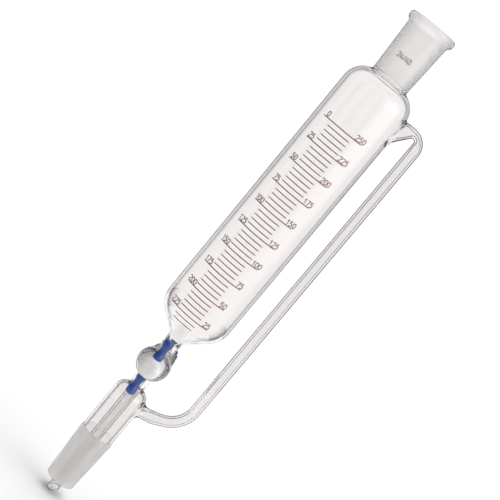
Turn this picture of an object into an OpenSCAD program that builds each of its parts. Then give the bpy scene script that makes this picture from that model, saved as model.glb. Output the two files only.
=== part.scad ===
// Pressure-equalising dropping funnel, 250 mL, with 24/40 ground joints.
// Origin: centre of the lower cone's gauge plane, where it is 24 mm across.
// +Z runs up the funnel, the stopcock's head faces -Y, the side arm is on +X.

/* [Ground joints] */
// Diameter of each ground joint at its wide end
joint_wide = 24; // [19:1:29]
// Length of each ground joint, on a taper of 1 in 10
joint_length = 40; // [30:1:40]
// Thickness of the lower cone's wall
cone_wall = 2; // [1.5:0.1:2.5]
// Clear ground length above the gauge plane
cone_lead = 2.3; // [1:0.1:3]

/* [Socket] */
// Height of the socket's top face above the origin
socket_top = 331.9; // [320:0.1:340]
// Diameter of the socket tube at the shoulder
neck_d = 26.1; // [25:0.1:28]
// Diameter of the socket tube under its rim
socket_d = 29; // [28:0.1:31]
// Diameter of the rolled rim
rim_d = 33.6; // [32:0.1:36]
// Height of the rolled rim
rim_h = 6.6; // [5:0.1:8]

/* [Reservoir] */
// Outer diameter of the graduated cylinder
reservoir_d = 47.4; // [44:0.1:52]
// Thickness of the reservoir's wall
reservoir_wall = 1.6; // [1.2:0.1:2.2]
// Height at which the dished bottom begins
cylinder_bottom = 106.5; // [100:0.1:112]
// Height at which the shoulder begins
cylinder_top = 276; // [260:0.1:278]
// Radius of the shoulder's curve
shoulder_r = 14.4; // [12:0.1:16]
// Radius of the dished bottom's outer curve
knuckle_r = 17.4; // [14:0.1:19]
// Slope of the bottom's cone, in degrees
dish_lean = 42; // [35:1:48]

/* [Outlet] */
// Diameter of the stem above the stopcock
stem_d = 11.2; // [10:0.1:13]
// Bore of the stem above the stopcock
stem_bore = 6.6; // [5:0.1:7]
// Diameter of the stem below the stopcock
lower_stem_d = 10.6; // [9:0.1:12]
// Diameter of the drip tube
drip_d = 7.8; // [7:0.1:8]
// Bore of the drip tube
drip_bore = 4.8; // [4:0.1:5]
// Height of the middle of the slanted tip
tip_z = -45.5; // [-47:0.1:-44]
// Slope of the slanted tip, in degrees
tip_slope = 31; // [0:1:40]

/* [Stopcock] */
// Height of the stopcock's axis
cock_z = 64.3; // [62:0.1:66]
// Distance from the axis of the funnel to the barrel's front face
barrel_front = 15.4; // [14:0.1:17]
// Distance from the axis of the funnel to the barrel's rear face
barrel_rear = 13.6; // [12:0.1:15]
// Diameter of the bead round the barrel's front end
barrel_bead_d = 22.4; // [21:0.1:24]
// Diameter of the barrel behind its bead
barrel_wide_d = 20; // [19:0.1:21]
// Diameter of the barrel's rear end
barrel_narrow_d = 17.2; // [16:0.1:18]
// Diameter of the barrel's tapered bore at its front face
barrel_bore_wide = 14.4; // [13:0.1:15]
// Bore through the plug
plug_bore = 4; // [2:0.5:4]
// Radial clearance between the plug and its barrel
plug_clearance = 0.08; // [0.05:0.01:0.1]
// Diameter of the plug's head
head_d = 15.2; // [15:0.1:18]
// Length of the plug's head
head_length = 13.7; // [13:0.1:15]
// Diameter of the plug's threaded tail
tail_d = 8; // [7:0.1:8]
// Length of the handle from end to end
handle_length = 42.2; // [36:0.1:50]
// Diameter of the handle's ends
handle_d = 6.4; // [6:0.1:7]
// Diameter of the handle's waists
handle_waist_d = 4.9; // [4.5:0.1:5.5]

/* [Jacket and side arm] */
// Outer diameter of the vapour jacket
jacket_d = 23; // [22:0.1:24]
// Thickness of the jacket's wall
jacket_wall = 1.5; // [1.2:0.1:2]
// Height at which the jacket's shoulder begins
jacket_top = 34.6; // [32:0.1:36]
// Radius of the jacket's shoulder
jacket_shoulder_r = 6.9; // [6:0.1:8]
// Outer diameter of the side arm
arm_d = 7.6; // [7:0.1:9]
// Bore of the side arm
arm_bore = 4.8; // [4:0.1:5]
// Distance from the axis to the side arm's straight run
arm_x = 38.9; // [37:0.1:42]
// Radius of the side arm's upper bend, along its centre line
upper_bend_r = 8.2; // [7:0.1:10]
// Radius of the side arm's lower bend, along its centre line
lower_bend_r = 20.7; // [18:0.1:22]
// Angle of the side arm's lower bend
lower_bend_turn = 63; // [55:1:68]

/* [Scale] */
// Height of the scale's zero line
scale_zero = 250.5; // [245:0.1:252]
// Height between two numbered lines, 25 mL apart
major_step = 16.27; // [16:0.01:16.4]
// Angle that a numbered line covers
major_span = 75.4; // [60:0.1:90]
// Angle that a short line covers
minor_span = 40.4; // [30:0.1:60]
// Width of a line
line_width = 0.5; // [0.3:0.1:0.8]
// Height of the numerals
digit_h = 3.7; // [3:0.1:5]

/* [Hidden] */
$fn = 96;

glass_colour = [0.86, 0.9, 0.92, 0.4];
ground_colour = [0.83, 0.81, 0.79];
enamel_colour = [0.45, 0.13, 0.12];
ptfe_colour = [0.93, 0.93, 0.92];
handle_colour = [0.2, 0.27, 0.6];
rubber_colour = [0.12, 0.12, 0.12];

joint_wide_r = joint_wide / 2;
joint_taper = 0.05;
joint_narrow_r = joint_wide_r - joint_taper * joint_length;
cone_end_round = 1.6;
cone_lip = 1;
cone_bottom = cone_lead - joint_length - cone_lip;
cone_end_r = joint_wide_r + joint_taper * cone_bottom;

reservoir_r = reservoir_d / 2;
shoulder_x = reservoir_r - shoulder_r;
neck_r = neck_d / 2;
neck_bore_r = joint_narrow_r + 0.6;
socket_bottom = cylinder_top + sqrt(pow(shoulder_r, 2) - pow(neck_r + 1 - shoulder_x, 2));
socket_small_end = socket_top - joint_length;
bead_bottom = socket_top - rim_h;

knuckle_x = reservoir_r - knuckle_r;

// Where the knuckle's curve runs smoothly into the bottom's cone, as radius and height.
function cone_edge(inset) = [
    knuckle_x + (knuckle_r - inset) * sin(dish_lean),
    cylinder_bottom - (knuckle_r - inset) * cos(dish_lean)];

// The height of the bottom's cone at a radius.
function cone_z(r, inset) = cone_edge(inset)[1] - (cone_edge(inset)[0] - r) * tan(dish_lean);

// The reservoir's outer radius at a height on its cylinder or its knuckle.
function wall_r(z) = z >= cylinder_bottom ? reservoir_r
    : knuckle_x + sqrt(pow(knuckle_r, 2) - pow(cylinder_bottom - z, 2));

throat_top_r = 5.1;
throat_drop = 7;

barrel_taper = 0.1;
barrel_length = barrel_front + barrel_rear;
barrel_bore_narrow_r = barrel_bore_wide / 2 - barrel_taper * barrel_length;
barrel_port_r = 2.2;
bead_width = 2.6;
stem_r = stem_d / 2;
lower_stem_r = lower_stem_d / 2;
dish_bottom = cone_z(stem_r, 0);
drip_r = drip_d / 2;
ring_seal_z = jacket_top + 3;
tip_turn = 35;

jacket_r = jacket_d / 2;
arm_r = arm_d / 2;
arm_low_z = 54.5;
arm_high_z = 266;
flare_r = 8.6;
flare_length = 11.5;
flare_drop = 5;

scale_turn = -6;
left_numeral_turn = -30.1;
right_numeral_turn = 32;
numeral_lift = 0.6;
enamel = 0.12;
major_count = 10;
minor_per_major = 5;
first_value = 25;
full_value = 250;

head_gap = 0.4;
head_back = -barrel_front - head_gap;
head_front = head_back - head_length;
head_round = 4.5;
handle_y = head_front + 4.9;
tail_start = barrel_rear;
tail_end = barrel_rear + 14;
tail_r = tail_d / 2;
flat_half = tail_r - 0.8;
flat_length = 9;
washer_y = barrel_rear + 0.4;
washer_t = 1.4;
washer_r = 6.6;
ring_section = 1.3;
ring_r = tail_r + 0.4 + ring_section;
ring_y = washer_y + washer_t + ring_section;
nut_y = ring_y + ring_section + 0.3;
nut_t = 6.8;
nut_r = 7.6;
nut_ribs = 12;
slip = 0.3;

// Which of the seven bars, clockwise from the top with the middle last, each digit has.
DIGIT_BARS = [
    [1, 1, 1, 1, 1, 1, 0], [0, 1, 1, 0, 0, 0, 0], [1, 1, 0, 1, 1, 0, 1],
    [1, 1, 1, 1, 0, 0, 1], [0, 1, 1, 0, 0, 1, 1], [1, 0, 1, 1, 0, 1, 1],
    [1, 0, 1, 1, 1, 1, 1], [1, 1, 1, 0, 0, 0, 0], [1, 1, 1, 1, 1, 1, 1],
    [1, 1, 1, 1, 0, 1, 1]];
digit_aspect = 0.62;
stroke_share = 0.13;
pitch_share = 0.82;

// Lays a shape's Z axis along +Y through the stopcock's axis.
module along_cock() {
    translate([0, 0, cock_z]) rotate([-90, 0, 0]) children();
}

// The region inside the reservoir's outer or inner surface, as a half outline.
module reservoir_outline(inset) {
    radius = reservoir_r - inset;
    translate([0, cylinder_bottom]) square([radius, cylinder_top - cylinder_bottom]);
    intersection() {
        union() {
            translate([shoulder_x, cylinder_top]) circle(shoulder_r - inset);
            translate([0, cylinder_top]) square([shoulder_x, shoulder_r - inset]);
        }
        translate([0, cylinder_top - 1]) square([radius, shoulder_r + 1]);
    }
}

module upper_socket() {
    color(ground_colour) rotate_extrude() difference() {
        polygon([
            [0, socket_bottom], [neck_r, socket_bottom], [neck_r, socket_small_end],
            [socket_d / 2, bead_bottom], [rim_d / 2 - 0.6, bead_bottom + 1.4],
            [rim_d / 2, bead_bottom + 2.4], [rim_d / 2, socket_top - 2.2],
            [rim_d / 2 - 0.5, socket_top - 0.8], [rim_d / 2 - 1.5, socket_top], [0, socket_top]]);
        polygon([
            [0, socket_bottom - 1], [neck_bore_r, socket_bottom - 1],
            [neck_bore_r, socket_small_end - 0.6], [joint_narrow_r, socket_small_end],
            [joint_wide_r, socket_top], [joint_wide_r, socket_top + 1], [0, socket_top + 1]]);
    }
}

// The part of the reservoir's wall between two heights.
module reservoir_wall_between(low, high) {
    rotate_extrude() intersection() {
        difference() {
            reservoir_outline(0);
            reservoir_outline(reservoir_wall);
        }
        translate([0, low]) square([reservoir_d, high - low]);
    }
}

module reservoir_shoulder() {
    color(glass_colour) difference() {
        reservoir_wall_between(cylinder_top, socket_bottom);
        translate([0, 0, socket_bottom - 5]) cylinder(h = 10, r = neck_bore_r);
        arm_path_core();
    }
}

module reservoir_cylinder() {
    color(glass_colour) difference() {
        translate([0, 0, cylinder_bottom])
            cylinder(h = cylinder_top - cylinder_bottom, r = reservoir_r);
        translate([0, 0, cylinder_bottom - 1])
            cylinder(h = cylinder_top - cylinder_bottom + 2, r = reservoir_r - reservoir_wall);
        arm_path_core();
    }
}

// The knuckle below the cylinder and the cone below the knuckle, one wall thick.
module reservoir_bottom() {
    edge_line = cone_edge(-knuckle_r);
    color(glass_colour) union() {
        rotate_extrude() intersection() {
            translate([knuckle_x, cylinder_bottom]) difference() {
                circle(knuckle_r);
                circle(knuckle_r - reservoir_wall);
            }
            polygon([
                [knuckle_x, cylinder_bottom], edge_line, [reservoir_d, edge_line[1]],
                [reservoir_d, cylinder_bottom]]);
        }
        rotate_extrude() polygon([
            cone_edge(0), cone_edge(reservoir_wall),
            [throat_top_r, cone_z(throat_top_r, reservoir_wall)],
            [throat_top_r, cone_z(throat_top_r, 0)]]);
    }
}

module outlet_stem() {
    fillet_h = 4;
    color(glass_colour) difference() {
        union() {
            translate([0, 0, cock_z]) cylinder(h = dish_bottom + 1 - cock_z, r = stem_r);
            translate([0, 0, dish_bottom - fillet_h])
                cylinder(h = fillet_h + 1.5, r1 = stem_r, r2 = stem_r + 1.5);
        }
        rotate_extrude() polygon([[0, cone_z(0, 0)], cone_edge(0), [0, cone_edge(0)[1]]]);
        barrel_body();
        translate([0, 0, cock_z]) cylinder(h = dish_bottom - cock_z, r = stem_bore / 2);
        translate([0, 0, dish_bottom - throat_drop])
            cylinder(h = throat_drop + 2, r1 = stem_bore / 2, r2 = throat_top_r);
    }
}

// The barrel's outer shape, with no bores.
module barrel_body() {
    along_cock() {
        translate([0, 0, -barrel_front]) cylinder(h = bead_width, r = barrel_bead_d / 2);
        translate([0, 0, -barrel_front])
            cylinder(h = barrel_length, d1 = barrel_wide_d, d2 = barrel_narrow_d);
    }
}

module stopcock_barrel() {
    color(glass_colour) difference() {
        barrel_body();
        along_cock() translate([0, 0, -barrel_front])
            cylinder(h = barrel_length, r1 = barrel_bore_wide / 2, r2 = barrel_bore_narrow_r);
        translate([0, 0, cock_z - barrel_bead_d]) cylinder(h = barrel_bead_d * 2, r = barrel_port_r);
    }
}

module drip_tube() {
    tip_slant = [tip_slope, 0, -tip_turn];
    color(glass_colour) difference() {
        union() {
            translate([0, 0, ring_seal_z]) cylinder(h = cock_z - ring_seal_z, r = lower_stem_r);
            translate([0, 0, tip_z - 6]) cylinder(h = ring_seal_z - tip_z + 6, r = drip_r);
        }
        barrel_body();
        translate([0, 0, tip_z - 7]) cylinder(h = cock_z - tip_z + 7, r = drip_bore / 2);
        translate([0, 0, tip_z]) rotate(tip_slant) translate([-10, -10, -20]) cube(20);
    }
}

// The region inside the jacket's outer or inner surface, as a half outline.
module jacket_outline(inset) {
    radius = jacket_r - inset;
    translate([0, cone_lead]) square([radius, jacket_top - cone_lead]);
    intersection() {
        union() {
            translate([jacket_r - jacket_shoulder_r, jacket_top]) circle(jacket_shoulder_r - inset);
            translate([0, jacket_top])
                square([jacket_r - jacket_shoulder_r, jacket_shoulder_r - inset]);
        }
        translate([0, jacket_top - 1]) square([radius, jacket_shoulder_r + 1]);
    }
}

module vapour_jacket() {
    color(glass_colour) difference() {
        rotate_extrude() difference() {
            jacket_outline(0);
            translate([0, -0.01]) jacket_outline(jacket_wall);
            square([jacket_r - jacket_wall, jacket_top]);
            square([drip_r, jacket_top * 2]);
        }
        translate([0, 0, ring_seal_z]) cylinder(h = cock_z, r = lower_stem_r);
        arm_path_core();
    }
}

module lower_cone() {
    color(ground_colour) rotate_extrude() difference() {
        polygon([
            [0, cone_lead], [jacket_r, cone_lead], [joint_wide_r, 0],
            [cone_end_r + joint_taper * cone_end_round, cone_bottom + cone_end_round],
            [cone_end_r - cone_end_round * 0.2, cone_bottom + 0.5],
            [cone_end_r - cone_end_round * 0.6, cone_bottom], [0, cone_bottom]]);
        polygon([
            [0, cone_lead + 1], [jacket_r - jacket_wall, cone_lead + 1],
            [jacket_r - jacket_wall, cone_lead], [joint_wide_r - cone_wall, -2],
            [cone_end_r - cone_wall, cone_bottom - 1], [0, cone_bottom - 1]]);
    }
}

// The side arm's route: flare, upper bend, straight run, lower bend and slanted foot.
module arm_route(radius, flare) {
    flare_axis = atan2(flare_drop, flare_length);
    bend_x = arm_x - upper_bend_r;
    foot_x = arm_x - lower_bend_r;
    translate([arm_x, 0, arm_low_z]) cylinder(h = arm_high_z - arm_low_z, r = radius);
    translate([bend_x, 0, arm_high_z]) rotate([90, 0, 0])
        rotate_extrude(angle = 90) translate([upper_bend_r, 0]) circle(radius);
    translate([bend_x, 0, arm_high_z + upper_bend_r]) rotate([0, -90 - flare_axis, 0])
        cylinder(h = flare_length, r1 = radius, r2 = flare);
    translate([bend_x, 0, arm_high_z + upper_bend_r]) sphere(radius);
    translate([foot_x, 0, arm_low_z]) rotate([-90, 0, 0])
        rotate_extrude(angle = lower_bend_turn) translate([lower_bend_r, 0]) circle(radius);
    translate([foot_x, 0, arm_low_z]) rotate([0, lower_bend_turn, 0])
        translate([lower_bend_r, 0, 0]) {
            sphere(radius);
            rotate([180, 0, 0]) cylinder(h = foot_x + 2.8, r = radius);
        }
}

// The space inside the side arm, which also opens the walls that it joins.
module arm_path_core() {
    arm_route(arm_bore / 2, flare_r - (arm_d - arm_bore) / 2);
}

module side_arm() {
    color(glass_colour) difference() {
        arm_route(arm_r, flare_r);
        arm_path_core();
        translate([0, 0, cylinder_bottom]) cylinder(h = cylinder_top - cylinder_bottom, r = reservoir_r);
        rotate_extrude() intersection() {
            reservoir_outline(0);
            translate([0, cylinder_top - 1]) square([reservoir_r, shoulder_r + 2]);
        }
        cylinder(h = jacket_top + 20, r = jacket_r);
    }
}

// An arc of enamel on the reservoir, centred on the scale.
module scale_line(height, span) {
    rotate([0, 0, scale_turn - 90 - span / 2]) translate([0, 0, height - line_width / 2])
        rotate_extrude(angle = span)
            translate([wall_r(height + line_width / 2), 0]) square([enamel, line_width]);
}

module major_graduations() {
    color(enamel_colour)
        for (i = [0 : major_count - 1]) scale_line(scale_zero - i * major_step, major_span);
}

module minor_graduations() {
    color(enamel_colour)
        for (i = [0 : major_count - 1], j = [1 : minor_per_major - 1])
            if (i < major_count - 1 || j < 3)
                scale_line(scale_zero - (i + j / minor_per_major) * major_step, minor_span);
}

// One digit from seven bars, standing on the origin.
module digit(value, size) {
    bars = DIGIT_BARS[value];
    stroke = size * stroke_share;
    width = size * digit_aspect;
    half = (size - stroke) / 2;
    across = [width, stroke];
    upright = [stroke, half + stroke];
    right = width - stroke;
    if (bars[0]) translate([0, 2 * half]) square(across);
    if (bars[1]) translate([right, half]) square(upright);
    if (bars[2]) translate([right, 0]) square(upright);
    if (bars[3]) square(across);
    if (bars[4]) square(upright);
    if (bars[5]) translate([0, half]) square(upright);
    if (bars[6]) translate([0, half]) square(across);
}

// A flat mark stood on a cylinder at one angle, measured from the front.
module on_cylinder(radius, turn, height) {
    rotate([0, 0, turn - 90]) translate([radius, 0, height]) rotate([90, 0, 90])
        linear_extrude(enamel) children();
}

// A whole number on a cylinder, each digit laid flat at its own angle.
module number(value, size, radius, centre, height) {
    digits = value < 10 ? [value]
        : value < 100 ? [floor(value / 10), value % 10]
        : [floor(value / 100), floor(value / 10) % 10, value % 10];
    last = len(digits) - 1;
    pitch = size * pitch_share / radius * 180 / PI;
    for (i = [0 : last])
        on_cylinder(radius, centre + (i - last / 2) * pitch, height)
            translate([-size * digit_aspect / 2, 0]) digit(digits[i], size);
}

module left_numerals() {
    color(enamel_colour) for (i = [0 : major_count - 1])
        number(i * first_value, digit_h, reservoir_r, scale_turn + left_numeral_turn,
            scale_zero - i * major_step + numeral_lift);
}

module right_numerals() {
    color(enamel_colour) for (i = [0 : major_count - 1])
        number(full_value - i * first_value, digit_h, reservoir_r, scale_turn + right_numeral_turn,
            scale_zero - i * major_step + numeral_lift);
}

module joint_size_mark() {
    mark_z = socket_small_end + 12.4;
    mark_h = digit_h - 0.3;
    mark_turn = 1;
    mark_spread = 12.5;
    slash_lean = 12;
    // The socket widens upwards, so the mark stands off at its foot and touches at its top.
    mark_r = neck_r + (socket_d / 2 - neck_r) * (mark_z + mark_h - socket_small_end)
        / (bead_bottom - socket_small_end);
    color(enamel_colour) {
        number(24, mark_h, mark_r, mark_turn - mark_spread, mark_z);
        number(40, mark_h, mark_r, mark_turn + mark_spread, mark_z);
        on_cylinder(mark_r, mark_turn, mark_z) rotate([0, 0, -slash_lean])
            square([mark_h * stroke_share, mark_h]);
    }
}

module plug() {
    body_r = barrel_bore_wide / 2 - plug_clearance;
    body_end_r = barrel_bore_narrow_r - plug_clearance;
    color(ptfe_colour) difference() {
        along_cock() {
            rotate_extrude() union() {
                head_outline();
                polygon([
                    [0, head_back - 1], [body_r, head_back - 1], [body_r, -barrel_front],
                    [body_end_r, barrel_rear], [tail_r, barrel_rear + 0.2],
                    [tail_r, tail_end - 0.8], [tail_r - 0.8, tail_end], [0, tail_end]]);
            }
        }
        translate([0, 0, cock_z - barrel_bead_d]) cylinder(h = barrel_bead_d * 2, d = plug_bore);
        translate([0, handle_y, cock_z - head_d]) cylinder(h = head_d * 2, d = handle_waist_d);
        for (side = [-1, 1])
            translate([side * (flat_half + 5), tail_start + flat_length / 2, cock_z])
                cube([10, flat_length, 20], center = true);
    }
}

// The head's half outline, with a wide round at its front edge.
module head_outline() {
    inner = head_d / 2 - head_round;
    translate([0, head_front + head_round]) square([head_d / 2, head_length - head_round]);
    translate([0, head_front]) square([inner, head_length]);
    intersection() {
        translate([inner, head_front + head_round]) circle(head_round);
        translate([0, head_front]) square([head_d, head_round + 1]);
    }
}

// Half of the handle: a round bar with one waist and a rounded end.
module handle_half() {
    root = head_d / 2 - 2.6;
    waist_mid = 13;
    waist_r = 11;
    end_round = 1.5;
    half = handle_length / 2;
    difference() {
        rotate_extrude() difference() {
            union() {
                square([handle_d / 2, half - end_round]);
                square([handle_d / 2 - end_round, half]);
                translate([handle_d / 2 - end_round, half - end_round]) circle(end_round);
            }
            translate([handle_waist_d / 2 + waist_r, waist_mid]) circle(waist_r);
            translate([handle_waist_d / 2, -1]) square([handle_d, root + 1]);
        }
        translate([0, -handle_y, 0]) rotate([-90, 0, 0]) rotate_extrude() head_outline();
    }
}

module handle() {
    color(handle_colour) translate([0, handle_y, cock_z]) {
        cylinder(h = head_d, d = handle_waist_d, center = true);
        handle_half();
        mirror([0, 0, 1]) handle_half();
    }
}

module keyed_washer() {
    color(ptfe_colour) difference() {
        along_cock() translate([0, 0, washer_y]) cylinder(h = washer_t, r = washer_r);
        intersection() {
            along_cock() cylinder(h = tail_end, r = tail_r + slip);
            translate([0, 0, cock_z])
                cube([2 * (flat_half + slip), tail_end * 2, 20], center = true);
        }
    }
}

module o_ring() {
    color(rubber_colour) along_cock() translate([0, 0, ring_y])
        rotate_extrude() translate([ring_r, 0]) circle(ring_section);
}

module nut() {
    color(handle_colour) along_cock() translate([0, 0, nut_y]) difference() {
        cylinder(h = nut_t, r = nut_r);
        translate([0, 0, -1]) cylinder(h = nut_t + 2, r = tail_r + slip);
        for (i = [0 : nut_ribs - 1])
            rotate([0, 0, i * 360 / nut_ribs]) translate([nut_r + 0.7, 0, 1.2])
                cylinder(h = nut_t, r = 1.4);
    }
}

upper_socket();
reservoir_shoulder();
reservoir_cylinder();
reservoir_bottom();
outlet_stem();
stopcock_barrel();
drip_tube();
vapour_jacket();
lower_cone();
side_arm();
major_graduations();
minor_graduations();
left_numerals();
right_numerals();
joint_size_mark();
plug();
handle();
keyed_washer();
o_ring();
nut();
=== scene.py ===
"""Looks for the pressure-equalising dropping funnel. Sizes are in millimetres until a mesh is made."""

import math

import bmesh
import bpy
import numpy as np
from mathutils import Matrix, Vector


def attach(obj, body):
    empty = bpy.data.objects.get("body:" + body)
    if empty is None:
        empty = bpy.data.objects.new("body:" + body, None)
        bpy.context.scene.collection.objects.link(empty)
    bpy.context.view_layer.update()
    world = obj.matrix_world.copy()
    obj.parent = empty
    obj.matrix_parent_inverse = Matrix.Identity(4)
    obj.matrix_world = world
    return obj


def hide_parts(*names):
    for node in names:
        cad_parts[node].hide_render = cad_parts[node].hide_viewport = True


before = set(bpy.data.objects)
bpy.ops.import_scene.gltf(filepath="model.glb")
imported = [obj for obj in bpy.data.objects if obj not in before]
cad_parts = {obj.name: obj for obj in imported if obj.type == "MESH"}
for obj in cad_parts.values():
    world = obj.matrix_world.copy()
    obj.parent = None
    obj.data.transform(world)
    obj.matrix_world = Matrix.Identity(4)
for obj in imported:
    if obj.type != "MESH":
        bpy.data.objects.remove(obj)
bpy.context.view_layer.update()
MM = 0.001
ROUND = 144  # segments round a lathed piece

# The funnel's own measures, the same as the CAD's.
COCK_Z = 64.3
RES_R, RES_IN = 23.7, 22.1
CYL_LOW, CYL_TOP = 106.5, 276.0
KNUCKLE_X, KNUCKLE_R, CONE_LEAN = 6.3, 17.4, 42.0
SHOULDER_X, SHOULDER_R = 9.3, 14.4
WALL = 1.6
NECK_R, NECK_BORE, SOCKET_R, RIM_R = 13.05, 10.6, 14.5, 16.8
JOINT_WIDE, JOINT_NARROW = 12.0, 10.0
SOCKET_TOP, SOCKET_SMALL, BEAD_Z = 331.9, 291.9, 325.3
STEM_R, STEM_BORE, LOW_STEM_R = 5.6, 3.3, 5.3
DRIP_R, DRIP_BORE, TIP_Z = 3.9, 2.4, -45.5
JACKET_R, JACKET_IN, JACKET_TOP, JACKET_SHOULDER = 11.5, 10.0, 34.6, 6.9
CONE_LEAD, CONE_BOTTOM, CONE_END_R = 2.3, -38.7, 10.07
BARREL_FRONT, BARREL_REAR = -15.4, 13.6
BARREL_WIDE, BARREL_SLIM, BARREL_BEAD = 10.0, 8.6, 11.2
ARM_X, ARM_HALF, ARM_WALL = 38.9, 3.8, 1.4
SCALE_ZERO, STEP, LINES = 250.5, 16.27, 10
FLOOR_Z = -48.2


# ---------------------------------------------------------------- outlines
def arc(cx, cz, radius, start, end, steps):
    """Points on a circle from one angle to another, in degrees."""
    angles = np.radians(np.linspace(start, end, steps + 1))
    return [(cx + radius * math.cos(a), cz + radius * math.sin(a), 0) for a in angles]


def rounded(points, closed=False, steps=6):
    """A polyline whose corners are rounded by the third number of each point."""
    out = []
    count = len(points)
    for i, (r, z, fillet) in enumerate(points):
        if fillet <= 0 or (not closed and i in (0, count - 1)):
            out.append((r, z))
            continue
        here = Vector((r, z))
        before = Vector(points[i - 1][:2]) - here
        after = Vector(points[(i + 1) % count][:2]) - here
        half = before.angle(after) / 2
        if half > math.radians(89.5):
            out.append((r, z))
            continue
        reach = min(fillet / math.tan(half), before.length * 0.49, after.length * 0.49)
        a, b = before.normalized() * reach, after.normalized() * reach
        radius = reach * math.tan(half)
        centre = here + (a + b).normalized() * (radius / math.sin(half))
        first, last = here + a - centre, here + b - centre
        turn = first.angle_signed(last)
        for k in range(steps + 1):
            spoke = first.copy()
            spoke.rotate(Matrix.Rotation(-turn * k / steps, 2))
            out.append(tuple(centre + spoke))
    return out


def outward(verts, faces):
    """The faces, turned over if the closed mesh's volume is negative."""
    v = np.array(verts)
    volume = 0.0
    for f in faces:
        for k in range(1, len(f) - 1):
            volume += np.dot(v[f[0]], np.cross(v[f[k]], v[f[k + 1]]))
    return faces if volume > 0 else [tuple(reversed(f)) for f in faces]


def make(name, verts, faces):
    """A mesh object from millimetres, with its faces outward and smooth."""
    mesh = bpy.data.meshes.new(name)
    mesh.from_pydata([tuple(c * MM for c in v) for v in verts], [], outward(verts, faces))
    mesh.validate()
    mesh.update()
    obj = bpy.data.objects.new(name, mesh)
    bpy.context.scene.collection.objects.link(obj)
    mesh.shade_smooth()
    return obj


def lathe_data(profile, place, closed, segments=ROUND):
    """Vertices and faces of an outline turned about an axis. place(r, h, angle) gives the point."""
    verts, rings = [], []
    for r, h in profile:
        if r < 1e-6:
            verts.append(place(0, h, 0))
            rings.append([len(verts) - 1] * segments)
            continue
        first = len(verts)
        verts += [place(r, h, 2 * math.pi * k / segments) for k in range(segments)]
        rings.append(list(range(first, first + segments)))
    faces = []
    count = len(rings)
    for i in range(count if closed else count - 1):
        low, high = rings[i], rings[(i + 1) % count]
        for k in range(segments):
            m = (k + 1) % segments
            face = []
            for corner in (low[k], low[m], high[m], high[k]):
                if corner not in face:
                    face.append(corner)
            if len(face) > 2:
                faces.append(tuple(face))
    return verts, faces


def about_z(r, h, a):
    return (r * math.cos(a), r * math.sin(a), h)


def about_cock(r, h, a):
    return (r * math.cos(a), h, COCK_Z + r * math.sin(a))


def lathe(name, profile, place=about_z, closed=False, segments=ROUND):
    return make(name, *lathe_data(profile, place, closed, segments))


def boolean(target, tool, operation):
    """Joins a closed mesh to another, or cuts it out, and removes the tool."""
    mod = target.modifiers.new("join", "BOOLEAN")
    mod.object = tool
    mod.operation = operation
    mod.solver = "MANIFOLD"
    mesh = bpy.data.meshes.new_from_object(target.evaluated_get(bpy.context.evaluated_depsgraph_get()))
    target.modifiers.clear()
    target.data = mesh
    bpy.data.objects.remove(tool)


def smooth(obj, angle):
    """Smooth shading with edges sharper than an angle, in degrees, kept hard."""
    obj.data.shade_smooth()
    obj.data.set_sharp_from_angle(angle=math.radians(angle))


# ---------------------------------------------------------------- the glass
def ring_seal():
    """The fillet between the jacket's shoulder and the lower stem: where it starts and ends."""
    fillet = 2.0
    cx = LOW_STEM_R + fillet
    centre_x = JACKET_R - JACKET_SHOULDER
    reach = JACKET_SHOULDER + fillet
    cz = JACKET_TOP + math.sqrt(reach**2 - (cx - centre_x) ** 2)
    lean = math.degrees(math.atan2(cz - JACKET_TOP, cx - centre_x))
    return arc(centre_x, JACKET_TOP, JACKET_SHOULDER, 0, lean, 14) + arc(
        cx, cz, fillet, lean - 180, -180, 8
    )


def neck_fillet():
    """The reservoir's shoulder and the fillet where it meets the neck."""
    fillet = 1.2
    cx = NECK_R + fillet
    cz = CYL_TOP + math.sqrt((SHOULDER_R + fillet) ** 2 - (cx - SHOULDER_X) ** 2)
    lean = math.degrees(math.atan2(cz - CYL_TOP, cx - SHOULDER_X))
    return arc(SHOULDER_X, CYL_TOP, SHOULDER_R, 0, lean, 18) + arc(cx, cz, fillet, lean + 180, 180, 6)


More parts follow.
